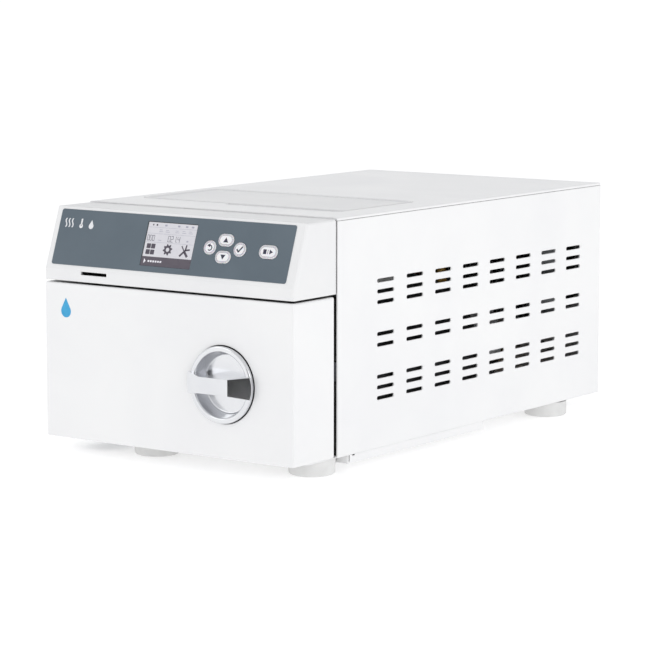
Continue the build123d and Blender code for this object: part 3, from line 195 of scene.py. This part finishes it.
def finish(
    name,
    colour,
    patch_colour,
    roughness,
    metallic=0.0,
    patches=14.0,
    cells=False,
    grain=900.0,
    relief=0.00002,
    gloss_spread=0.05,
    stretch=(1.0, 1.0, 1.0),
    turned_about=None,
    painted_edge_shading_colour=None,
    painted_edge_shading_amount=0.5,
    round_edges=0.0006,
    painted_crevice_shade=None,
    constants=None,
):
    """Two tones in soft patches with a fine grain; if given a colour, painted edge shading for the light on
    rounded edges, and painted shade in crevices.
    """
    tree = Tree(name)
    shader = tree.shader
    place = tree.add("TexCoord").outputs["Object"]
    if turned_about is None:
        along = tree.add("Mapping", Vector=place, Scale=stretch).outputs[0]
    else:
        centre = (turned_about[0], 0.0, turned_about[1])
        offset = tree.add("VectorMath", set_operation="SUBTRACT")
        tree.put(offset.inputs[0], place)
        tree.put(offset.inputs[1], centre)
        flat = tree.add("VectorMath", set_operation="MULTIPLY")
        tree.put(flat.inputs[0], offset.outputs[0])
        tree.put(flat.inputs[1], (1.0, 0.0, 1.0))
        radius = tree.add("VectorMath", set_operation="LENGTH")
        tree.put(radius.inputs[0], flat.outputs[0])
        depth = tree.add("SeparateXYZ", Vector=place).outputs["Y"]
        along = tree.add("CombineXYZ", X=radius.outputs["Value"], Y=depth).outputs[0]
    if cells:
        mosaic = tree.add("TexVoronoi", Vector=place, Scale=patches)
        soft = tree.add("SeparateColor", Color=mosaic.outputs["Color"]).outputs[0]
    else:
        soft = tree.noise(place, patches, 4.0, 0.3)
    fine = tree.noise(along, grain, 2.0)
    amount = tree.spread(soft, *NOISE_SPREAD, 0.0, 1.0)
    shade = tree.blend(amount, colour, patch_colour)
    even = tree.maths("MULTIPLY_ADD", fine, 0.5)
    tree.put(even.node.inputs[2], tree.maths("MULTIPLY", soft, 0.5))
    gloss = tree.spread(even, *NOISE_SPREAD, roughness - gloss_spread, roughness + gloss_spread)
    rounded = tree.add("Bevel", set_samples=4, Radius=round_edges).outputs[0]
    # Painted edge shading: a painted highlight where the rounded normal turns (a painted darker rim on the
    # keys), broken up by noise
    if painted_edge_shading_colour is not None:
        facing = tree.add("VectorMath", set_operation="DOT_PRODUCT")
        tree.put(facing.inputs[0], rounded)
        tree.put(facing.inputs[1], tree.add("NewGeometry").outputs["Normal"])
        turned = tree.spread(facing.outputs["Value"], *EDGE_TURN, 0.0, 1.0)
        edge_shading_breakup = tree.spread(tree.noise(place, EDGE_BREAKS), *EDGE_BREAK_SPREAD, 0.0, painted_edge_shading_amount)
        shade = tree.blend(tree.maths("MULTIPLY", turned, edge_shading_breakup), shade, painted_edge_shading_colour)
    # Painted shade: gaps and seams go dark where other faces are near, below the lid seam
    if painted_crevice_shade is not None:
        open_share = tree.add("AmbientOcclusion", set_samples=6, Distance=PAINTED_SHADE_REACH).outputs["AO"]
        height = tree.add("SeparateXYZ", Vector=place).outputs["Z"]
        below_lid = tree.spread(height, *LID_SEAM, 1.0, 0.0)
        crevice_shade_amount = tree.spread(open_share, *PAINTED_SHADE_SHARES, 0.0, 1.0)
        shade = tree.blend(tree.maths("MULTIPLY", crevice_shade_amount, below_lid), shade, painted_crevice_shade)
    bump = tree.add("Bump", Distance=relief, Height=fine, Normal=rounded)
    bump.inputs["Strength"].default_value = 1.0
    tree.put(shader.inputs["Base Color"], shade)
    tree.put(shader.inputs["Roughness"], gloss)
    tree.put(shader.inputs["Normal"], bump.outputs[0])
    shader.inputs["Metallic"].default_value = metallic
    for socket, value in (constants or {}).items():
        shader.inputs[socket].default_value = value
    return tree.material


knob_low, knob_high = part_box("knob_dial")
KNOB_CENTRE = ((knob_low.x + knob_high.x) / 2, (knob_low.z + knob_high.z) / 2)

# Edge colours here are painted light along rounded edges, paler on most finishes and darker on the keys;
# crevice colours are painted shade in gaps and seams
FINISHES = {
    "white_powder_coat": finish(
        "white_powder_coat", rgb(240, 240, 240), rgb(236, 236, 237), 0.36, patches=9.0,
        grain=1400.0, relief=0.000015, painted_edge_shading_colour=rgb(250, 250, 250), round_edges=0.0009,
        painted_crevice_shade=rgb(12, 12, 12),
        constants={"Specular IOR Level": 0.45, "Coat Weight": 0.15, "Coat Roughness": 0.2},
    ),
    "black_powder_coat": finish(
        "black_powder_coat", rgb(14, 14, 15), rgb(10, 10, 11), 0.7, patches=30.0, grain=1400.0,
        relief=0.00002, painted_edge_shading_colour=rgb(34, 34, 36), painted_edge_shading_amount=0.4, round_edges=0.0004,
    ),
    "white_plastic": finish(
        "white_plastic", rgb(235, 235, 235), rgb(231, 231, 232), 0.42, patches=12.0,
        grain=2200.0, relief=0.00001, painted_edge_shading_colour=rgb(250, 250, 250), round_edges=0.0008,
        painted_crevice_shade=rgb(12, 12, 12),
    ),
    "slate_overlay": finish(
        "slate_overlay", rgb(91, 104, 114), rgb(87, 100, 110), 0.55, patches=20.0,
        grain=3200.0, relief=0.000008, painted_edge_shading_colour=rgb(120, 131, 141), painted_edge_shading_amount=0.3,
        round_edges=0.0002,
    ),
    "display_glass": finish(
        "display_glass", rgb(28, 26, 34), rgb(22, 21, 28), 0.12, patches=30.0, grain=1500.0,
        relief=0.000001, gloss_spread=0.03, round_edges=0.0002,
        constants={"Coat Weight": 0.6, "Coat Roughness": 0.04},
    ),
    "key_white": finish(
        "key_white", rgb(240, 239, 241), rgb(235, 234, 237), 0.3, patches=60.0, grain=2600.0,
        relief=0.000006, painted_edge_shading_colour=rgb(226, 220, 226), painted_edge_shading_amount=0.5, round_edges=0.0003,
        constants={"Subsurface Weight": 0.08, "Subsurface Scale": 0.0008},
    ),
    "circuit_board": finish(
        "circuit_board", rgb(22, 92, 52), rgb(30, 116, 66), 0.38, patches=420.0, cells=True,
        grain=1600.0, relief=0.00003, painted_edge_shading_colour=rgb(150, 140, 90), painted_edge_shading_amount=0.6,
        round_edges=0.0003, constants={"Coat Weight": 0.3, "Coat Roughness": 0.2},
    ),
    "black_plastic": finish(
        "black_plastic", rgb(30, 30, 32), rgb(24, 24, 26), 0.5, patches=40.0, grain=2400.0,
        relief=0.00002, painted_edge_shading_colour=rgb(62, 62, 64), painted_edge_shading_amount=0.6, round_edges=0.0004,
    ),
    "red_plastic": finish(
        "red_plastic", rgb(176, 28, 28), rgb(160, 22, 24), 0.42, patches=50.0, grain=2400.0,
        relief=0.00001, painted_edge_shading_colour=rgb(206, 80, 72), painted_edge_shading_amount=0.6, round_edges=0.0004,
    ),
    "zinc_steel": finish(
        "zinc_steel", rgb(176, 178, 182), rgb(150, 153, 158), 0.36, 1.0, patches=140.0,
        cells=True, grain=1200.0, relief=0.00001, gloss_spread=0.1,
        painted_edge_shading_colour=rgb(214, 216, 220), painted_edge_shading_amount=0.7, round_edges=0.0004,
    ),
    "stainless_steel": finish(
        "stainless_steel", rgb(196, 197, 199), rgb(182, 184, 187), 0.3, 1.0, patches=16.0,
        grain=2600.0, relief=0.000006, gloss_spread=0.08, stretch=(1.0, 0.03, 1.0),
        painted_edge_shading_colour=rgb(226, 227, 229), painted_edge_shading_amount=0.5, round_edges=0.0005,
    ),
    "satin_chrome": finish(
        "satin_chrome", rgb(226, 227, 229), rgb(220, 221, 224), 0.17, 1.0, patches=30.0,
        grain=3600.0, relief=0.0000012, gloss_spread=0.04, turned_about=KNOB_CENTRE,
        painted_edge_shading_colour=rgb(240, 241, 242), painted_edge_shading_amount=0.4, round_edges=0.0003,
    ),
    "cast_aluminium": finish(
        "cast_aluminium", rgb(170, 172, 174), rgb(150, 152, 156), 0.5, 1.0, patches=60.0,
        grain=700.0, relief=0.00006, gloss_spread=0.1, painted_edge_shading_colour=rgb(210, 211, 213),
        painted_edge_shading_amount=0.7,
    ),
    "brass": finish(
        "brass", rgb(206, 168, 96), rgb(180, 138, 74), 0.32, 1.0, patches=70.0, grain=1800.0,
        relief=0.000008, gloss_spread=0.08, stretch=(1.0, 0.2, 1.0),
        painted_edge_shading_colour=rgb(232, 204, 140), painted_edge_shading_amount=0.7, round_edges=0.0004,
    ),
    "copper": finish(
        "copper", rgb(206, 124, 86), rgb(160, 88, 60), 0.34, 1.0, patches=60.0, grain=1500.0,
        relief=0.00001, gloss_spread=0.1, painted_edge_shading_colour=rgb(226, 160, 126), painted_edge_shading_amount=0.5,
    ),
    "grey_silicone": finish(
        "grey_silicone", rgb(150, 151, 153), rgb(138, 139, 142), 0.62, patches=45.0,
        grain=1400.0, relief=0.00002, painted_edge_shading_colour=rgb(176, 177, 180), painted_edge_shading_amount=0.4,
        constants={"Sheen Weight": 0.1},
    ),
    "insulation_felt": finish(
        "insulation_felt", rgb(46, 46, 48), rgb(34, 34, 37), 0.95, patches=180.0,
        grain=1500.0, relief=0.0003, gloss_spread=0.04, stretch=(1.0, 0.4, 1.0),
        constants={"Sheen Weight": 0.2},
    ),
    "white_rubber": finish(
        "white_rubber", rgb(227, 227, 226), rgb(220, 220, 219), 0.7, patches=50.0,
        grain=1600.0, relief=0.00003, painted_edge_shading_colour=rgb(240, 240, 239), painted_edge_shading_amount=0.4,
    ),
}

for node, slot_name in SLOTS.items():
    piece = frame["nodes"][node]
    piece.data.materials.clear()
    piece.data.materials.append(FINISHES[slot_name])


def ink(name, colour, patch_colour, roughness=0.45, glow=0.0):
    """A printed or shown colour, with the light unevenness of ink or of a lit panel."""
    constants = {}
    if glow:
        constants = {"Emission Color": colour, "Emission Strength": glow}
    return finish(
        name, colour, patch_colour, roughness, patches=220.0, grain=3000.0, relief=0.000002,
        round_edges=0.00005, constants=constants,
    )


INKS = {
    "screen_light": ink("screen_light", rgb(202, 201, 206), rgb(198, 197, 203), 0.2, 0.12),
    "screen_dark": ink("screen_dark", rgb(72, 64, 76), rgb(67, 59, 72), 0.2, 0.05),
    "screen_icon": ink("screen_icon", rgb(62, 54, 70), rgb(56, 49, 64), 0.2, 0.02),
    "screen_faint": ink("screen_faint", rgb(160, 160, 174), rgb(154, 154, 169), 0.2, 0.08),
    "screen_numeral": ink("screen_numeral", rgb(84, 84, 100), rgb(78, 78, 94), 0.2, 0.02),
    "screen_white": ink("screen_white", rgb(226, 224, 230), rgb(220, 218, 226), 0.2, 0.12),
    "key_line": ink("key_line", rgb(140, 128, 142), rgb(132, 121, 136)),
    "key_symbol": ink("key_symbol", rgb(44, 42, 66), rgb(38, 37, 60)),
    "panel_white": ink("panel_white", rgb(232, 233, 235), rgb(226, 227, 230)),
    "door_blue": ink("door_blue", rgb(58, 166, 214), rgb(50, 156, 206)),
}

# ================= flat outlines, in millimetres =================


def oval(centre, width, height, steps=14):
    """A slot shape with round ends."""
    x, y = centre
    radius = height / 2
    reach = max(width / 2 - radius, 0.0)
    points = []
    for side, start in ((1, -90), (-1, 90)):
        for step in range(steps + 1):
            angle = math.radians(start + 180 * step / steps)
            points.append((x + side * reach + radius * math.cos(angle), y + radius * math.sin(angle)))
    return points


def disc(centre, radius, steps=28):
    turns = [2 * math.pi * step / steps for step in range(steps)]
    return [(centre[0] + radius * math.cos(a), centre[1] + radius * math.sin(a)) for a in turns]


def block(x_low, y_low, x_high, y_high, corner=0.0):
    """A rectangle, with its corners rounded if a radius is given."""
    if not corner:
        return [(x_low, y_low), (x_high, y_low), (x_high, y_high), (x_low, y_high)]
    centres = [
        (x_high - corner, y_low + corner, -90), (x_high - corner, y_high - corner, 0),
        (x_low + corner, y_high - corner, 90), (x_low + corner, y_low + corner, 180),
    ]
    points = []
    for x, y, start in centres:
        for step in range(5):
            angle = math.radians(start + 90 * step / 4)
            points.append((x + corner * math.cos(angle), y + corner * math.sin(angle)))
    return points


def stroke(start, end, width):
    """A straight line of one width."""
    along = Vector((end[0] - start[0], end[1] - start[1])).normalized()
    side = Vector((-along.y, along.x)) * width / 2
    corners = []
    for point, sign in ((start, -1), (end, -1), (end, 1), (start, 1)):
        corners.append((point[0] + sign * side.x, point[1] + sign * side.y))
    return corners


def arc_band(centre, radius, width, start, end, steps=18):
    """Part of a ring between two angles in degrees."""
    turns = [math.radians(start + (end - start) * step / steps) for step in range(steps + 1)]
    outer = [(centre[0] + (radius + width / 2) * math.cos(a),
              centre[1] + (radius + width / 2) * math.sin(a)) for a in turns]
    inner = [(centre[0] + (radius - width / 2) * math.cos(a),
              centre[1] + (radius - width / 2) * math.sin(a)) for a in turns]
    return outer + inner[::-1]


def wave(x, y_low, y_high, swing, width, steps=16):
    """A rising wavy line."""
    left, right = [], []
    for step in range(steps + 1):
        y = y_low + (y_high - y_low) * step / steps
        middle = x + swing * math.sin(2 * math.pi * step / steps)
        left.append((middle - width / 2, y))
        right.append((middle + width / 2, y))
    return right + left[::-1]


def drop(centre, radius, steps=24):
    """A water drop with its point upward."""
    x, y = centre
    points = [(x, y + 2.1 * radius)]
    for step in range(steps + 1):
        angle = math.radians(145 + 250 * step / steps)
        points.append((x + radius * math.cos(angle), y + radius * math.sin(angle)))
    return points


# ================= thin pieces on the object's faces =================

overlay_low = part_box("control_overlay")[0]
SLOPE = math.radians(19.4)
OVERLAY_THICKNESS = 0.8
OVERLAY_MARGIN = 4.0
OVERLAY_PROUD = 0.3
# How deep a thin piece is sunk into what it lies on
INTO = 0.02


def slope_frame():
    """The console's slope: across, up the slope, and out of it, from the foot of the slope."""
    up = Vector((0, math.sin(SLOPE), math.cos(SLOPE)))
    out = Vector((0, -math.cos(SLOPE), math.sin(SLOPE)))
    foot = Vector((0, overlay_low.y, overlay_low.z + OVERLAY_THICKNESS * MM * math.sin(SLOPE)))
    foot -= up * OVERLAY_MARGIN * MM + out * OVERLAY_PROUD * MM
    turn = Matrix(((1, 0, 0), up, out)).transposed().to_4x4()
    return Matrix.Translation(foot) @ turn @ Matrix.Scale(MM, 4)


def front_frame(front):
    """An upright face: across, up, and out towards the front, from the floor."""
    turn = Matrix(((1, 0, 0), (0, 0, 1), (0, -1, 0))).transposed().to_4x4()
    return Matrix.Translation((0, front, 0)) @ turn @ Matrix.Scale(MM, 4)


def add_shape(form, outer, inner, low, high):
    """A closed flat solid from one outline, or from two with as many points, between two heights."""
    loops = []
    for outline in (outer, inner) if inner else (outer,):
        loops.append([[form.verts.new((x, y, height)) for x, y in outline] for height in (low, high)])
    count = len(outer)
    for number, (bottom, top) in enumerate(loops):
        for here in range(count):
            after = (here + 1) % count
            wall = (bottom[here], bottom[after], top[after], top[here])
            form.faces.new(wall if number == 0 else wall[::-1])
    if not inner:
        form.faces.new(loops[0][1])
        form.faces.new(loops[0][0][::-1])
        return
    for here in range(count):
        after = (here + 1) % count
        (outer_low, outer_high), (inner_low, inner_high) = loops
        form.faces.new((outer_high[here], outer_high[after], inner_high[after], inner_high[here]))
        form.faces.new((inner_low[here], inner_low[after], outer_low[after], outer_low[here]))


def plate(name, shapes, place, low, high, material, body, slot_name):
    """One thin piece made of flat shapes, each an outline or a pair of outlines for a ring."""
    form = bmesh.new()
    for shape in shapes:
        outer, inner = shape if isinstance(shape, tuple) else (shape, None)
        add_shape(form, outer, inner, low, high)
    bmesh.ops.triangulate(form, faces=[face for face in form.faces if len(face.verts) > 4])
    form.transform(place)
    bmesh.ops.recalc_face_normals(form, faces=form.faces)
    mesh = bpy.data.meshes.new(name)
    form.to_mesh(mesh)
    form.free()
    mesh.materials.append(material)
    piece = bpy.data.objects.new(name, mesh)
    SCENE.collection.objects.link(piece)
    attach(piece, body)


SLOPE_FRAME = slope_frame()

# ---- the display's picture ----
SCREEN_X = (-29.2, 23.6)
SCREEN_S = (9.4, 47.4)
BAR_TOP = 17.4
GLASS = 0.0
PICTURE = (GLASS - INTO, GLASS + 0.06)
INK = (PICTURE[1] - INTO, PICTURE[1] + 0.03)

SEGMENTS = {
    "0": "abcdef", "1": "bc", "2": "abged", "4": "fgbc",
}


def numeral(text, x, y, width, height, line):
    """Seven-segment figures in a row, as thin strokes."""
    shapes = []
    for sign in text:
        if sign == ".":
            shapes.append(block(x, y, x + line, y + line))
            x += 2 * line
            continue
        left, right, middle, top = x, x + width, y + height / 2, y + height
        ends = {
            "a": ((left, top), (right, top)), "b": ((right, top), (right, middle)),
            "c": ((right, middle), (right, y)), "d": ((right, y), (left, y)),
            "e": ((left, y), (left, middle)), "f": ((left, middle), (left, top)),
            "g": ((left, middle), (right, middle)),
        }
        shapes += [stroke(*ends[segment], line) for segment in SEGMENTS[sign]]
        x += width + 2.2 * line
    return shapes


def gear_icon(centre, radius, teeth=8):
    """A cog with a round hole."""
    steps = teeth * 4
    outer = []
    for step in range(steps):
        angle = 2 * math.pi * (step + 0.5) / steps
        reach = radius if step % 4 < 2 else radius * 0.74
        outer.append((centre[0] + reach * math.cos(angle), centre[1] + reach * math.sin(angle)))
    return outer, disc(centre, radius * 0.36, steps)


def screen_pieces():
    left, right = SCREEN_X
    low, high = SCREEN_S
    field = [block(left, BAR_TOP, right, high)]
    bar = [block(left - 0.5, low - 0.2, right + 0.2, BAR_TOP)]
    plate("screen_field", field, SLOPE_FRAME, *PICTURE, INKS["screen_light"], "cabinet", "display_glass")
    plate("screen_status_bar", bar, SLOPE_FRAME, *PICTURE, INKS["screen_dark"], "cabinet", "display_glass")
    icon_y = 24.0
    squares = []
    for x in (-24.6, -19.7):
        for y in (icon_y - 2.6, icon_y + 2.6):
            squares.append(block(x - 2.2, y - 2.1, x + 2.2, y + 2.1, 0.5))
    cog = gear_icon((-3.6, icon_y + 0.4), 5.0)
    tools = [
        stroke((10.2, icon_y - 4.4), (16.2, icon_y + 1.6), 1.8),
        stroke((18.6, icon_y - 4.6), (14.6, icon_y - 0.2), 2.2),
        stroke((14.2, icon_y + 0.4), (11.0, icon_y + 4.6), 1.1),
        stroke((15.6, icon_y + 1.0), (16.2, icon_y + 5.6), 1.5),
        stroke((15.6, icon_y + 1.0), (20.2, icon_y + 1.7), 1.5),
    ]
    icons = squares + [cog] + tools
    plate("screen_icons", icons, SLOPE_FRAME, *INK, INKS["screen_icon"], "cabinet", "display_glass")
    figures = numeral("000", -27.8, 31.4, 1.9, 4.6, 0.42) + numeral("021.4", -5.2, 31.2, 2.2, 5.0, 0.42)
    plate("screen_figures", figures, SLOPE_FRAME, *INK, INKS["screen_numeral"], "cabinet", "display_glass")
    lines = [
        block(left + 0.6, 30.0, right - 0.6, 30.2),
        block(left + 0.6, 37.6, right - 0.6, 37.8),
        block(left + 0.6, 43.0, right - 0.6, 43.2),
    ]
    for x in (-16.5, -9.5, 1.0, 8.5, 15.5):
        lines.append(block(x, 39.4, x + 4.4, 39.8))
        lines.append(block(x, 40.9, x + 3.2, 41.3))
    for x in (-11.5, 2.5, 11.0, 17.5):
        lines.append(block(x, 44.4, x + 2.6, 46.0, 0.4))
    lines += [block(-15.6, 31.8, -12.4, 32.3), block(14.8, 32.0, 16.8, 33.4, 0.3)]
    plate("screen_lines", lines, SLOPE_FRAME, *INK, INKS["screen_faint"], "cabinet", "display_glass")
    signs = [disc((-20.0, 45.2), 0.9, 12), block(-24.6, 44.5, -23.4, 45.9)]
    plate("screen_signs", signs, SLOPE_FRAME, *INK, INKS["screen_icon"], "cabinet", "display_glass")
    marks = [[(-26.8, 11.2), (-24.6, 13.4), (-26.8, 15.6)]]
    for count in range(6):
        x = -22.4 + 2.6 * count
        marks.append(block(x, 12.6, x + 1.8, 14.2, 0.3))
    plate("screen_progress", marks, SLOPE_FRAME, *INK, INKS["screen_white"], "cabinet", "display_glass")


screen_pieces()

# ---- the keys' printed rings and symbols ----
KEY_PROUD = 0.9
KEY_TOP_DEPTH = 0.4
# Each printed ring's inset from the key's edge, and its width
KEY_RINGS = ((0.55, 0.3), (1.35, 0.35))
KEY_INK = (KEY_PROUD - INTO, KEY_PROUD + 0.04)
TO_SLOPE = SLOPE_FRAME.inverted()


def key_outline(node):
    """A key's middle on the slope, and its width and height, in millimetres."""
    key = frame["nodes"][node]
    points = [TO_SLOPE @ vertex.co for vertex in key.data.vertices]
    points = [point for point in points if point.z > KEY_PROUD - KEY_TOP_DEPTH]
    across = [point.x for point in points]
    along = [point.y for point in points]
    middle = ((min(across) + max(across)) / 2, (min(along) + max(along)) / 2)
    return middle, max(across) - min(across), max(along) - min(along)


def key_symbols(x, y):
    """Each key's symbol about its middle."""
    return {
        "up": [[(x - 2.6, y - 2.0), (x + 2.6, y - 2.0), (x, y + 2.3)]],
        "down": [[(x - 2.6, y + 2.0), (x, y - 2.3), (x + 2.6, y + 2.0)]],
        "back": [
            arc_band((x + 0.2, y - 0.3), 2.1, 1.0, -130, 95),
            [(x - 3.0, y + 1.8), (x + 0.2, y + 0.1), (x + 0.2, y + 3.5)],
        ],
        "ok": [
            stroke((x - 2.9, y + 0.2), (x - 0.9, y - 2.2), 1.3),
            stroke((x - 1.2, y - 2.3), (x + 2.9, y + 2.5), 1.3),
        ],
        "start": [
            block(x - 5.0, y - 2.0, x - 1.8, y + 2.0),
            block(x - 0.45, y - 1.8, x + 0.05, y + 1.8),
            [(x + 1.5, y - 2.1), (x + 5.0, y), (x + 1.5, y + 2.1)],
        ],
    }


for key in ("up", "down", "back", "ok", "start"):
    (key_x, key_y), key_width, key_height = key_outline(f"button_{key}")
    rings = []
    for inset, line in KEY_RINGS:
        rings.append((
            oval((key_x, key_y), key_width - 2 * inset, key_height - 2 * inset),
            oval((key_x, key_y), key_width - 2 * (inset + line), key_height - 2 * (inset + line)),
        ))
    symbol = key_symbols(key_x, key_y)[key]
    body = f"{key}_key"
    plate(f"key_{key}_rings", rings, SLOPE_FRAME, *KEY_INK, INKS["key_line"], body, "key_white")
    plate(f"key_{key}_symbol", symbol, SLOPE_FRAME, *KEY_INK, INKS["key_symbol"], body, "key_white")

# ---- plain pictures printed on the panel and the door ----
PANEL_INK = (OVERLAY_PROUD - INTO, OVERLAY_PROUD + 0.03)
steam = [wave(x, 37.4, 45.4, 0.8, 1.3) for x in (-121.0, -117.4, -113.8)]
bulb = [disc((-103.6, 39.2), 2.0), stroke((-103.6, 39.2), (-103.6, 45.6), 1.7)]
marks = steam + bulb + [drop((-92.4, 39.6), 2.6)]
plate("panel_pictures", marks, SLOPE_FRAME, *PANEL_INK, INKS["panel_white"], "cabinet", "slate_overlay")

door_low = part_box("door_shell")[0]
DOOR_FRAME = front_frame(door_low.y)
DOOR_INK = (-INTO, 0.04)
DOOR_DROP_PLACE = (-111.0, 127.4)
DOOR_DROP_RADIUS = 5.6
plate(
    "door_picture", [drop(DOOR_DROP_PLACE, DOOR_DROP_RADIUS)], DOOR_FRAME, *DOOR_INK,
    INKS["door_blue"], "door", "white_powder_coat",
)

# ================= studio =================

add_camera()
add_sky(horizon=1.0, overhead=0.72)
floor_finish = finish(
    "pale_floor", rgb(238, 238, 238), rgb(236, 236, 236), 0.8, patches=0.7, grain=60.0,
    relief=0.00001, constants={"Emission Color": (1, 1, 1, 1), "Emission Strength": 0.36},
)
FLOOR_REACH = 60.0
stage_plate(
    "floor",
    [(-FLOOR_REACH, -FLOOR_REACH, 0), (FLOOR_REACH, -FLOOR_REACH, 0),
     (FLOOR_REACH, FLOOR_REACH, 0), (-FLOOR_REACH, FLOOR_REACH, 0)],
    floor_finish,
)
add_softbox(
    "light_right", place=(2.4, -0.6, 0.8), aim=(0.1, 0, 0.12), width=1.6, height=1.4, watts=7
)
add_softbox(
    "light_left", place=(-1.6, -2.2, 1.3), aim=(0, -0.1, 0.12), width=1.4, height=1.4, watts=5
)

# A dark card stands off in front, to the right of the knob, for the chrome to mirror
CARD_LEFT = (0.07, -0.55)
CARD_RIGHT = (0.28, -0.53)
CARD_TOP = 0.17
card_finish = finish("dark_card", rgb(16, 16, 17), rgb(12, 12, 13), 0.9, grain=300.0)
card = stage_plate(
    "dark_card",
    [(*CARD_LEFT, 0.0), (*CARD_RIGHT, 0.0), (*CARD_RIGHT, CARD_TOP), (*CARD_LEFT, CARD_TOP)],
    card_finish,
)
card.visible_camera = False
card.visible_diffuse = False
card.visible_shadow = False

SCENE.view_settings.view_transform = "Standard"
